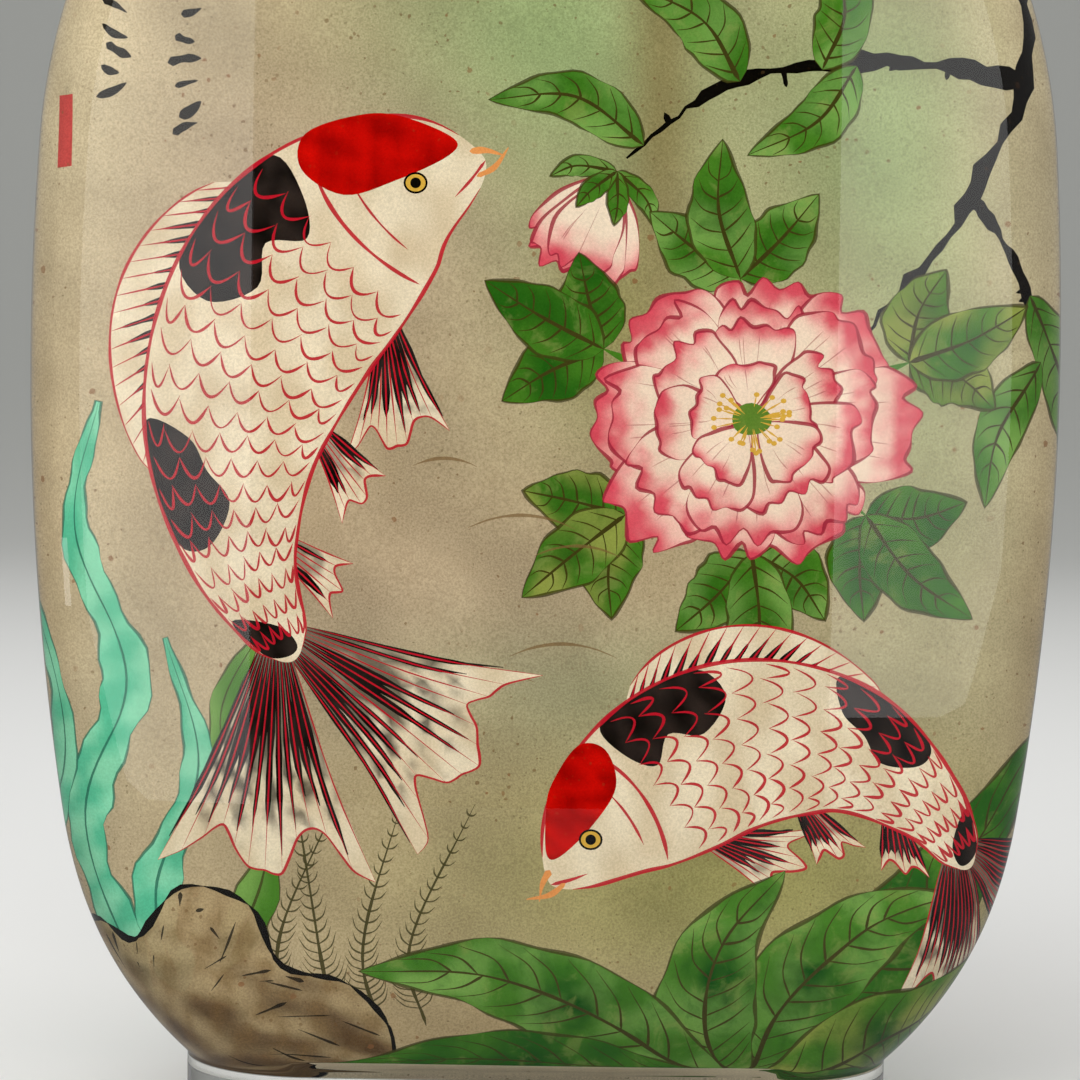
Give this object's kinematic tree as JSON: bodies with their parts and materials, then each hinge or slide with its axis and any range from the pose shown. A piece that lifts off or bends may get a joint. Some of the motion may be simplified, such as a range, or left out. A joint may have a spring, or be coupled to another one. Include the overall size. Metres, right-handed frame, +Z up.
{
  "type": "snuff bottle",
  "caption": "Flattened clear-glass snuff bottle on an oval foot, hollow and painted on the inside, with a short neck and a lift-out domed stopper.",
  "frame": {"origin": "middle of the foot's underside, on the plane that the bottle stands on", "axes": "+Z up along the bottle's axis, -Y out of the front painted face, +X to the right as that face is seen"},
  "size_m": [0.05, 0.024, 0.0893],
  "materials": {
    "painted_glass": "polished clear glass, painted on its inner wall in buff, green, red, pink and brown",
    "green_glass": "polished, mottled green",
    "dark_horn": "polished",
    "cork": "matt"
  },
  "bodies": {
    "root": {"bottle": "painted_glass", "stopper_cap": "green_glass", "stopper_collar": "dark_horn", "stopper_plug": "cork"}
  },
  "joints": []
}
